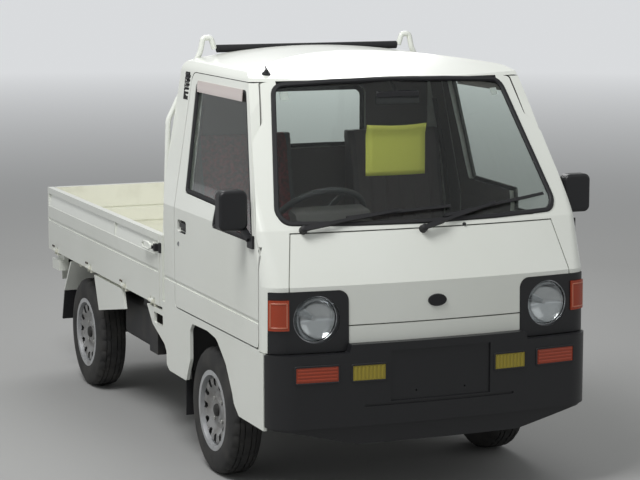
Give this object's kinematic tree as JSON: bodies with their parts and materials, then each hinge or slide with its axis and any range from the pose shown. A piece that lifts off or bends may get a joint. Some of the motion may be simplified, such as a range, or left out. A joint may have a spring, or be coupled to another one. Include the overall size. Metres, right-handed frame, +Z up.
{
  "type": "kei truck",
  "caption": "Small cab-over pickup with a two-seat cab, a flat bed with drop sides and tailgate, steel wheels and a guard frame behind the cab.",
  "frame": {"origin": "centre of the bounding box on the ground", "axes": "+Z up, the front faces -Y, the driver sits on the -X side, +Y runs to the tail"},
  "size_m": [1.63, 3.295, 1.795],
  "materials": {
    "body_white": "off-white body paint",
    "bed_cream": "cream bed paint, worn",
    "glass_clear": "clear tinted safety glass",
    "plastic_black": "grained charcoal plastic",
    "lamp_clear": "clear fluted lamp glass",
    "lens_orange": "amber-orange lens",
    "lens_yellow": "yellow fog lens",
    "lens_red": "red rear lens",
    "chassis_black": "black chassis paint, dusty",
    "floor_grey": "grey painted floor pan",
    "dash_grey": "dark grey moulded plastic",
    "seat_fabric": "dark woven seat cover",
    "tyre_rubber": "black tyre rubber",
    "rim_silver": "silver painted pressed steel",
    "iron_dark": "dark cast iron, dull",
    "muffler_steel": "aluminised steel, browned",
    "tank_black": "black painted tank",
    "flap_rubber": "black rubber flap",
    "pad_foam": "black foam sleeve"
  },
  "bodies": {
    "root": {"battery_box": "tank_black", "bed_deck": "bed_cream", "cab_back_panel": "body_white", "cab_floor": "floor_grey", "cab_glass": "glass_clear", "cab_sides": "body_white", "chassis_frame": "chassis_black", "dashboard": "dash_grey", "engine_block": "iron_dark", "fog_lamps": "lens_yellow", "front_bumper": "plastic_black", "front_lid": "body_white", "front_panel": "body_white", "front_suspension": "chassis_black", "fuel_tank": "tank_black", "guard_frame": "body_white", "guard_pad": "pad_foam", "headlamps": "lamp_clear", "lamp_bezels": "plastic_black", "mud_flaps": "flap_rubber", "muffler": "muffler_steel", "rear_lamps": "lens_red", "rear_suspension": "chassis_black", "roof_panel": "body_white", "seats": "seat_fabric", "steering_column": "dash_grey", "turn_lamps": "lens_orange", "under_bed_panels": "body_white", "wipers": "plastic_black"},
    "knuckle_left": {"knuckle_left": "iron_dark"},
    "knuckle_right": {"knuckle_right": "iron_dark"},
    "wheel_fl": {"tyre_fl": "tyre_rubber", "rim_fl": "rim_silver"},
    "wheel_fr": {"tyre_fr": "tyre_rubber", "rim_fr": "rim_silver"},
    "wheel_rl": {"tyre_rl": "tyre_rubber", "rim_rl": "rim_silver"},
    "wheel_rr": {"tyre_rr": "tyre_rubber", "rim_rr": "rim_silver"},
    "steering_rod": {"steering_rod": "chassis_black"},
    "steering_wheel": {"steering_wheel": "dash_grey"},
    "door_left": {"door_left": "body_white", "door_glass_left": "glass_clear", "mirror_left": "plastic_black"},
    "door_right": {"door_right": "body_white", "door_glass_right": "glass_clear", "mirror_right": "plastic_black"},
    "gate_left": {"gate_left": "body_white"},
    "gate_right": {"gate_right": "body_white"},
    "tailgate": {"tailgate": "body_white"}
  },
  "joints": [
    {"name": "steer_right", "type": "hinge", "parent": "root", "child": "knuckle_right", "pos_m": [-0.56, -0.838, 0.267], "axis": [0, 0, 1], "range_deg": [-30, 30]},
    {"name": "steer_left", "type": "hinge", "parent": "root", "child": "knuckle_left", "pos_m": [0.56, -0.838, 0.267], "axis": [0, 0, 1], "range_deg": [-30, 30]},
    {"name": "rod_slide", "type": "slide", "parent": "root", "child": "steering_rod", "axis": [1, 0, 0], "range_m": [-0.056, 0.056]},
    {"name": "steering_wheel_turn", "type": "hinge", "parent": "root", "child": "steering_wheel", "pos_m": [-0.33, -1.18, 1.105], "axis": [0, 0.6691, 0.7431], "range_deg": [-482, 482]},
    {"name": "wheel_fl_spin", "type": "hinge", "parent": "knuckle_left", "child": "wheel_fl", "pos_m": [0.605, -0.838, 0.267], "axis": [1, 0, 0], "continuous": true},
    {"name": "wheel_fr_spin", "type": "hinge", "parent": "knuckle_right", "child": "wheel_fr", "pos_m": [-0.605, -0.838, 0.267], "axis": [1, 0, 0], "continuous": true},
    {"name": "wheel_rl_spin", "type": "hinge", "parent": "root", "child": "wheel_rl", "pos_m": [0.605, 1.047, 0.267], "axis": [1, 0, 0], "continuous": true},
    {"name": "wheel_rr_spin", "type": "hinge", "parent": "root", "child": "wheel_rr", "pos_m": [-0.605, 1.047, 0.267], "axis": [1, 0, 0], "continuous": true},
    {"name": "door_left_swing", "type": "hinge", "parent": "root", "child": "door_left", "pos_m": [0.6895, -1.454, 0.9], "axis": [0, 0, -1], "range_deg": [0, 65]},
    {"name": "door_right_swing", "type": "hinge", "parent": "root", "child": "door_right", "pos_m": [-0.6895, -1.454, 0.9], "axis": [0, 0, 1], "range_deg": [0, 65]},
    {"name": "gate_left_drop", "type": "hinge", "parent": "root", "child": "gate_left", "pos_m": [0.7, 0.7, 0.618], "axis": [0, 1, 0], "range_deg": [0, 180]},
    {"name": "gate_right_drop", "type": "hinge", "parent": "root", "child": "gate_right", "pos_m": [-0.7, 0.7, 0.618], "axis": [0, -1, 0], "range_deg": [0, 180]},
    {"name": "tailgate_drop", "type": "hinge", "parent": "root", "child": "tailgate", "pos_m": [0, 1.6385, 0.618], "axis": [-1, 0, 0], "range_deg": [0, 180]}
  ],
  "couplings": [
    {"joint": "steer_left", "follows": "steer_right", "ratio": 1},
    {"joint": "rod_slide", "follows": "steer_right", "m_per_rad": 0.105},
    {"joint": "steering_wheel_turn", "follows": "steer_right", "ratio": 16}
  ]
}
